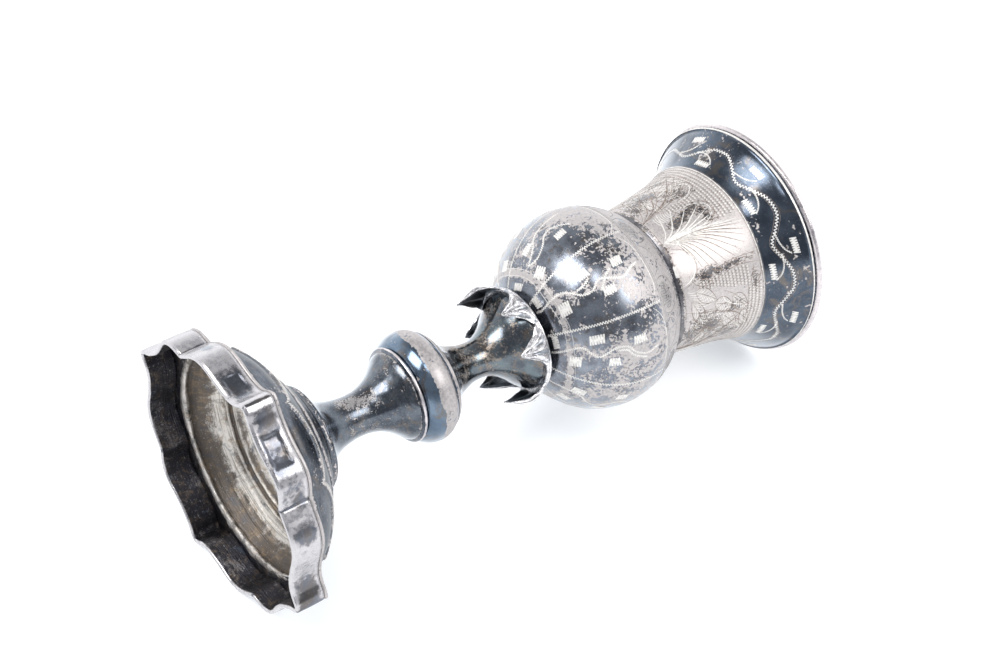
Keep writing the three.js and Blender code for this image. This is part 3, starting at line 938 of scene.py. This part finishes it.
def engrave_ball():
    """Zigzag meridians, vines and hatched leaves below, and pads, arches and rings round the top."""
    bright = Engraving(turned_surface("cup_ball"))
    dark = Engraving(bright.surface)
    for at, kind in MERIDIANS:
        bright.turn = at
        bright.wriggle([(-1.8, Z_CALYX_SIDE), (-0.6, 78), (-0.3, 85), (0, Z_PANEL_TOP)], 0.28, 0.56, 0.19)
        for vine in PANELS[kind]["vines"]:
            bright.wriggle(vine, 0.23, 0.48, 0.20)
        for leaf in PANELS[kind]["leaves"]:
            bright.leaf(*leaf)
        bright.line([(2, 89.2), (8, 90.9), (16, 91.5), (30, 91.6), (38, 91.2), (44, 89.4)], 0.22)
        dark.turn = at - 1
        hatched_pad(dark, 94.1, 8.0, 1.6)
        for side in (-1, 1):
            dark.line([(side * 9.5, 92.6), (side * 11, 94.4), (side * 8, 96.4), (side * 1, 97.3)], 0.24)
            dark.line([(side * 12, 92.6), (side * 16, 94.6), (side * 22, 95.6)], 0.18)
    bright.turn = dark.turn = 0.0
    low, high = Z_COLLAR_RING - 0.22, Z_COLLAR_RING + 0.22
    for z, width in ((low, 0.14), (high, 0.16), (97.9, 0.10), (98.6, 0.10)):
        dark.line(ring(z), width)
    for z in (72.95, 73.75):
        bright.line(ring(z, 0.12), 0.12)
    bright.build("ball_bright_cuts", CUT)
    dark.build("ball_soiled_cuts", CUT_DARK)


def hatched_pad(cuts, z, half_wide, half_tall):
    """A small oval filled with crossed fine lines."""
    for share in np.arange(-5, 6) / 5.5:
        reach = math.sqrt(1 - share * share)
        x, y = share * half_wide, z + share * half_tall
        cuts.line([(-half_wide * reach, y), (0, y + 0.05), (half_wide * reach, y)], 0.15, 0.02)
        cuts.line([(x, z - half_tall * reach), (x + 0.4, z), (x, z + half_tall * reach)], 0.15, 0.02)


# Directions of the crests of the vine under the lip, and heights of its crests and troughs.
CRESTS = [240, 283, 324, 370, 416, 462, 508, 554]
CREST_Z, TROUGH_Z = 124.7, 121.9
TENDRIL = (0.17, 0.44, 0.19)  # swing, pitch and width of the small stalks


def engrave_band():
    """The wavy vine under the lip with painted shadow lines beside it, a hatched leaf in every bend, and the
    bright edge above it.
    """
    bright = Engraving(turned_surface("cup_throat"))
    dark = Engraving(bright.surface)
    wave = []
    for crest, after in zip(CRESTS, CRESTS[1:] + [CRESTS[0] + 360]):
        trough = (crest + after) / 2 - 2.5
        wave += [(crest - 6, CREST_Z - 0.25), (crest + 3, CREST_Z - 0.1), (crest + 10, CREST_Z - 1.3),
                 (trough, TROUGH_Z), (after - 14, CREST_Z - 1.5)]
        bright.turn = trough
        bright.leaf((3.5, 125.6), (3.4, 1.4), 3, 0.54)
        bright.wriggle([(-6, 122.9), (0, 123.2), (4.5, 123.9), (7, 124.8)], *TENDRIL)
        bright.turn = after
        bright.leaf((-7.5, 121.1), (3.6, 1.4), 4, 0.54)
        bright.wriggle([(-17, 123.1), (-10, 123.1), (-5, 122.5), (-2, 121.5)], *TENDRIL)
    bright.turn = 0.0
    wave.append((wave[0][0] + 360, wave[0][1]))
    bright.wriggle(wave, 0.32, 0.70, 0.22)
    # Painted shadow: a dark line along each side of the vine.
    for shift in (-0.46, 0.46):
        dark.line([(u + 1.2 * shift, v + shift) for u, v in wave], 0.14, 0.02)
    bright.line(ring(127.9), 0.60, 0.11)
    bright.build("lip_band_cuts", CUT)
    dark.build("lip_band_shadow_lines", CUT_BROWN)


def fan(cuts, base, tips, width):
    """Strokes of a palmette from its base out to each tip, swelling and bending over."""
    for k, (u, v) in enumerate(tips):
        du, dv = u - base[0], v - base[1]
        near = (base[0] + du * 0.08, base[1] + dv * 0.18)
        middle = (base[0] + du * 0.30, base[1] + dv * 0.55)
        cuts.line([base, near, middle, (u, v)], width * (1 + 0.35 * (k % 2)), 0.05)


def granulated(u, z):
    """Whether the ground of the throat is granulated there."""
    turn = (u - 200) % TURN + 200
    upper = z > 114.7 and turn < 273 and not (turn < 246 and z < 115.6)
    between = 246.5 < turn < 252.5 and z > 107
    side = 306.5 < turn < 310.5 + 0.85 * (z - 104) and z < 116.6
    return upper or between or side


SCALE_ROWS, SCALE_LOW, SCALE_GAP = 18, 104.9, 0.80     # rows, lowest row's height, mm between rows
SCALE_WIDE = 2.0                                       # degrees


def scale_rows(bright, dark):
    """Rows of small punched scales over the granulated ground."""
    turns = np.radians([200, 235, 270, 305, 340])
    across, up = SCALE_WIDE * np.array([-0.27, 0, 0.27]), np.array([0.1, 0, 0.1])
    for row in range(SCALE_ROWS):
        z = SCALE_LOW + SCALE_GAP * row
        for u in np.arange(row % 2 * SCALE_WIDE / 2, 360, SCALE_WIDE):
            if granulated(u, z):
                under = dark.on(u + 0.49 * SCALE_WIDE * np.cos(turns), z + 0.44 * np.sin(turns))
                dark.cut(*under, 0.15, 0.02, taper=False)
                bright.cut(*bright.on(u + across, z + up), 0.32, 0.05)


def mottle(cuts, at, z, half_wide, half_tall, count):
    """Short strokes scattered over a sunk oval leaf."""
    for k in range(count):
        reach = math.sqrt((k + 0.5) / count)
        u = at + half_wide * reach * math.cos(2.4 * k)
        v = z + half_tall * reach * math.sin(2.4 * k)
        lean = 0.9 * math.sin(5.1 * k)
        cuts.cut(*cuts.on([u, u + lean, u + lean * 1.3], [v, v + 0.35, v + 0.75]), 0.24)


MM_PER_DEGREE = 0.20          # round the throat, for the frieze's leaves


def veined_leaf(bright, dark, base, lean, length, wide):
    """A leaf of the frieze from its base (degrees, height): dark outline and rib, bright veins."""
    c, s = math.cos(math.radians(lean)), math.sin(math.radians(lean))

    def at(x, y):
        return base[0] + (x * c - y * s) / MM_PER_DEGREE, base[1] + x * s + y * c

    for side in (-wide, wide):
        dark.line([at(length * k, side * math.sin(math.pi * k**0.8)) for k in np.linspace(0, 1, 9)], 0.2)
        for k in np.linspace(0.2, 0.8, 6):
            reach = side * math.sin(math.pi * k**0.8)
            bright.line([at(length * (k - 0.12), 0.0), at(length * k, 0.4 * reach),
                         at(length * (k + 0.08), 0.85 * reach)], 0.17)
    dark.line([at(0, 0), at(length / 2, 0.1), at(length, 0)], 0.16)


# Leaves of the frieze: base, lean in degrees, length and half width in mm.
FRIEZE_LEAVES = [((312, 103.4), 65, 5.5, 1.2), ((318, 102.2), 35, 6.5, 1.3), ((326, 107.6), 75, 5.0, 1.2),
                 ((332, 102.4), 20, 6.0, 1.3), ((337, 109.6), 55, 5.5, 1.3), ((346, 105.0), 12, 5.0, 1.1),
                 ((350, 111.6), 80, 4.5, 1.1), ((222, 102.6), 112, 6.0, 1.5), ((214, 107.6), 80, 6.5, 1.6),
                 ((229, 107.4), 62, 6.0, 1.4), ((205, 112.0), 55, 5.0, 1.3), ((240, 103.6), 128, 4.8, 1.2),
                 ((217, 114.6), 20, 4.5, 1.0)]
# Tips of the palmettes' strokes: a short fan, the large bright fan, and a feathery dark one.
SHORT_FAN = [(246, 104.5), (249, 107.5), (253, 110.5), (257, 112.6), (262, 113.8), (267, 113.4),
             (271.5, 113.6)]
LARGE_FAN = [(274.5, 115.5), (277, 117.4), (280, 118.5), (284, 118.7), (288, 118.6), (292, 117.8),
             (295.5, 116.6), (298, 115), (299.5, 113), (299, 110.8), (297.6, 108.8), (296, 107.2), (292, 106)]
DARK_FAN = [(206, 113), (212, 116.5), (219, 117), (224, 114), (232, 116), (214, 107), (208, 104), (222, 109)]
# Single soiled strokes of the frieze: width and points.
DARK_STROKES = [
    (0.16, [(300.5, 118.6), (300, 114), (301, 110.4)]),
    (0.16, [(307, 118.8), (305, 114), (307.5, 110.2)]),
    (0.20, [(308, 118.9), (315, 118.7), (322, 117.3), (327, 115.6)]),
    (0.16, [(308, 117.6), (315, 116.8), (321, 116.2), (327, 115.6)]),
    (0.24, [(325.5, 100.8), (329, 103.4), (331, 106.6), (335, 110.5), (341, 113.8), (350, 116.4),
            (358, 117.6)]),
    (0.18, [(318, 110), (324, 112.5), (331, 114.6), (339, 117), (346, 118.2)]),
]


def palmettes(bright, dark):
    """Fans of strokes, with arches over the two sunk lobes beside them."""
    fan(bright, (270.5, 101.3), SHORT_FAN, 0.26)
    fan(bright, (271, 101.6), LARGE_FAN, 0.30)
    fan(dark, (271.6, 102.4), [(u + 0.9, v - 0.7) for u, v in LARGE_FAN], 0.18)
    fan(dark, (248, 100.9), DARK_FAN, 0.17)
    for at, z, wide, tall in ((262, 109.8, 9.5, 4.9), (238, 110.9, 8.5, 4.4)):
        bright.line(arc(at, z, wide, tall, -20, 200), 0.24)
        dark.line(arc(at, z, wide + 1.6, tall + 0.6, -10, 190), 0.16)
    for k in range(8):
        bright.line([(248.5, 103.2 + 0.5 * k), (252, 103.0 + 0.5 * k), (257, 103.4 + 0.5 * k)], 0.20)


def low_arch(bright, dark):
    """The arch over the waist with two hatched blocks in it, and the ring beside it."""
    bright.line(arc(291.5, 100.6, 13.5, 4.4, 4, 176, 18), 0.34)
    dark.line(arc(291.5, 100.5, 15.4, 5.0, 6, 174, 18), 0.16)
    bright.leaf((288, 102.3), (2.6, 0.95), -4, 0.30)
    bright.leaf((293, 100.75), (2.2, 0.7), -4, 0.30)
    dark.line(arc(303, 106.9, 7.5, 3.5, -130, 130, 20), 0.18)


def branch(bright, dark):
    """A leafy branch that fills the side of the frieze."""
    for k in range(7):
        bright.line([(310 + 2.2 * k, 101.5 + 0.35 * k), (312 + 2.2 * k, 103.0 + 0.45 * k),
                     (311 + 2.0 * k, 104.6 + 0.55 * k)], 0.17)
    for width, points in DARK_STROKES:
        dark.line(points, width)
    bright.line([(320, 109.6), (326, 110.2), (331, 112), (334, 114.6)], 0.3)
    for k in range(6):
        bright.line(arc(338 + 3.4 * k, 106.6 + 1.1 * k, 2.6, 1.2, 190 - 12 * k, 20 - 12 * k, 9), 0.20)
        dark.line([(334 + 3.2 * k, 102.6 + 1.1 * k), (338 + 3.2 * k, 103.8 + 1.2 * k),
                   (343 + 3.2 * k, 104.2 + 1.3 * k)], 0.14)


def engrave_frieze():
    """The granulated ground, and palmettes, leaves and arches, three times round the throat."""
    bright = Engraving(turned_surface("cup_throat"))
    dark = Engraving(bright.surface)
    scale_rows(bright, dark)
    for turn in range(0, 360, TURN):
        bright.turn = dark.turn = turn
        for sunk in SUNK:
            mottle(dark, *sunk)
        for leaf in FRIEZE_LEAVES:
            veined_leaf(bright, dark, *leaf)
        palmettes(bright, dark)
        low_arch(bright, dark)
        branch(bright, dark)
    bright.turn = dark.turn = 0.0
    for z, width, cuts in ((Z_RING, 0.26, bright), (Z_RING - 0.25, 0.14, dark), (100.9, 0.16, dark)):
        cuts.line(ring(z), width)
    bright.build("frieze_bright_cuts", CUT)
    dark.build("frieze_soiled_cuts", CUT_BROWN)


TOOTH = 1.1                   # degrees between the teeth of the dome's border


def engrave_dome():
    """The serrated edge of the arches on the foot."""
    cuts = Engraving(turned_surface("foot_dome", dome_relief))
    for u in np.arange(0, 360, TOOTH):
        z = float(dome_border(np.array(u)))
        cuts.line([(u, z + 0.05), (u + 0.1, z + 0.45), (u, z + 0.85)], 0.20, 0.05)
    cuts.build("dome_border_cuts", CUT)


def leaf_surface(leaf):
    """The outer side of a calyx leaf as a function of (w, s)."""

    def surface(w, s):
        thick = leaf_half_thick(s, w)
        place = leaf_place(leaf, s, w, thick)
        across = leaf_place(leaf, s, w + 0.01, thick) - leaf_place(leaf, s, w - 0.01, thick)
        down = leaf_place(leaf, s + 0.01, w, thick) - leaf_place(leaf, s - 0.01, w, thick)
        out = unit(np.cross(across, down))
        return place, out * np.sign(np.sum(out * place * (1, 1, 0), axis=1))[:, None]

    return surface


def engrave_leaves():
    """Veins and a scored edge on the outer side of each calyx leaf."""
    cuts = Engraving(None)
    for leaf in LEAVES:
        cuts.surface = leaf_surface(leaf)
        for side in (-1, 1):
            for k in range(2):
                s = 0.2 + 0.3 * k
                cuts.line([(side * 0.1, s + 0.2), (side * 0.4, s + 0.09), (side * 0.7, s)], 0.18, 0.02)
            cuts.line([(side * 0.88, 0.05), (side * 0.86, 0.4), (side * 0.80, 0.8)], 0.20, 0.02)
        cuts.line([(0.12, 0.06), (0.12, 0.5), (0.1, 0.93)], 0.22, 0.02)
    cuts.build("calyx_cuts", CUT_DARK)


engrave_ball()
engrave_band()
engrave_frieze()
engrave_dome()
engrave_leaves()

# --- camera, floor, light

# The camera's place, and its directions to the right and backwards, in the goblet's frame.
CAMERA_AT = Vector((0.1063, -0.3196, -0.1152))
CAMERA_RIGHT = Vector((0.5356, -0.2734, 0.7990)).normalized()
CAMERA_BACK = Vector((0.2844, -0.8325, -0.4754)).normalized()
LENS_MM, SENSOR_MM = 68.6, 36.0
REST_TURN = math.radians(64.4)      # side of the goblet that lies on the table
FOOT_REACH = 26.75 * MM             # axis to table at the foot; at the mouth it is the lip's radius


def make_camera():
    data = bpy.data.cameras.new("camera")
    data.lens = LENS_MM
    data.sensor_width = SENSOR_MM
    data.clip_start = 0.01
    camera = placed("camera", data)
    up = CAMERA_BACK.cross(CAMERA_RIGHT).normalized()
    axes = Matrix((CAMERA_RIGHT, up, CAMERA_BACK)).transposed().to_4x4()
    camera.matrix_world = Matrix.Translation(CAMERA_AT) @ axes
    bpy.context.scene.camera = camera


def table_axes():
    """Directions of the table: up from it, away from the camera along it, and to the right."""
    down = Vector((math.cos(REST_TURN), math.sin(REST_TURN), 0.0))
    lip_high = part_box("lip_moulding")[1]
    slope = (FOOT_REACH - lip_high.x) / lip_high.z
    up = (-down - Vector((0, 0, slope))).normalized()
    away = (-CAMERA_BACK + up * CAMERA_BACK.dot(up)).normalized()
    return up, away, away.cross(up).normalized()


UP, AWAY, RIGHT = table_axes()
CENTRE = Vector((0, 0, 0.065))      # middle of the goblet, where the lamps point
TABLE_HALF = 2.5                    # metres from the table's middle to its edge


def make_floor():
    """A white table seen from above only, so that views from under it aren't blocked."""
    mesh = bpy.data.meshes.new("table")
    wide, deep = RIGHT * TABLE_HALF, AWAY * TABLE_HALF
    corners = [wide * x + deep * y - UP * FOOT_REACH for x, y in ((-1, -1), (1, -1), (1, 1), (-1, 1))]
    mesh.from_pydata([tuple(c) for c in corners], [], [(0, 1, 2, 3)])
    floor = placed("table", mesh)
    material = bpy.data.materials.new("white_table")
    material.use_nodes = True
    tree = material.node_tree
    tree.nodes.clear()
    shade = node(tree, "ShaderNodeBsdfDiffuse", {"Color": (0.68, 0.685, 0.69, 1)})
    glow = node(tree, "ShaderNodeEmission", {"Color": (0.93, 0.965, 1.0, 1), "Strength": 0.50})
    both = node(tree, "ShaderNodeAddShader", {0: shade.outputs[0], 1: glow.outputs[0]})
    back = node(tree, "ShaderNodeNewGeometry").outputs["Backfacing"]
    clear = node(tree, "ShaderNodeBsdfTransparent")
    choice = node(tree, "ShaderNodeMixShader", {0: back, 1: both.outputs[0], 2: clear.outputs[0]})
    node(tree, "ShaderNodeOutputMaterial", {"Surface": choice.outputs[0]})
    mesh.materials.append(material)


def softbox(name, height, turn, away, size, strength):
    """A square lamp at an angle over the table; turn is 0 beyond the goblet and 90 to its right."""
    e, t = math.radians(height), math.radians(turn)
    toward = UP * math.sin(e) + (AWAY * math.cos(t) + RIGHT * math.sin(t)) * math.cos(e)
    data = bpy.data.lights.new(name, "AREA")
    data.shape = "RECTANGLE"
    data.size, data.size_y = size
    data.energy = strength * math.pi * size[0] * size[1]
    data.color = (1.0, 0.99, 0.98)
    lamp = placed(name, data)
    lamp.location = CENTRE + toward * away
    lamp.rotation_mode = "QUATERNION"
    lamp.rotation_quaternion = toward.to_track_quat("Z", "Y")


def make_world():
    """A white sweep beyond the table, a dim room over it and a darker one behind the camera."""
    world = bpy.data.worlds.new("studio")
    bpy.context.scene.world = world
    world.use_nodes = True
    tree = world.node_tree
    tree.nodes.clear()
    toward = node(tree, "ShaderNodeTexCoord").outputs["Generated"]

    def along(direction):
        inputs = {0: toward, 1: tuple(direction)}
        return node(tree, "ShaderNodeVectorMath", inputs, operation="DOT_PRODUCT").outputs["Value"]

    high = along(UP)
    beyond = ranged(tree, along(AWAY), -0.55, 0.55)
    low = ranged(tree, high, 0.25, 0.85, 1.0, 0.0)
    sweep = maths(tree, "MULTIPLY", beyond, low)
    room = mixed(tree, beyond, (0.42, 0.435, 0.465), (0.50, 0.51, 0.53))
    colour = mixed(tree, sweep, room, (1.7, 1.72, 1.75))
    light = node(tree, "ShaderNodeBackground", {"Color": colour, "Strength": 1.0})
    white = node(tree, "ShaderNodeBackground", {"Color": (1, 1, 1, 1), "Strength": 1.0})
    seen = node(tree, "ShaderNodeLightPath").outputs["Is Camera Ray"]
    choice = node(tree, "ShaderNodeMixShader", {0: seen, 1: light.outputs[0], 2: white.outputs[0]})
    node(tree, "ShaderNodeOutputWorld", {"Surface": choice.outputs[0]})


make_camera()
make_floor()
# Name, degrees up and round, distance and size in metres, and strength.
softbox("left_softbox", 57, -113, 0.60, (0.32, 0.30), 8.0)
softbox("right_softbox", 42, 113, 0.60, (0.28, 0.32), 6.0)
softbox("top_softbox", 66, 178, 0.70, (0.16, 0.12), 7.0)
make_world()
bpy.context.scene.view_settings.view_transform = "Standard"
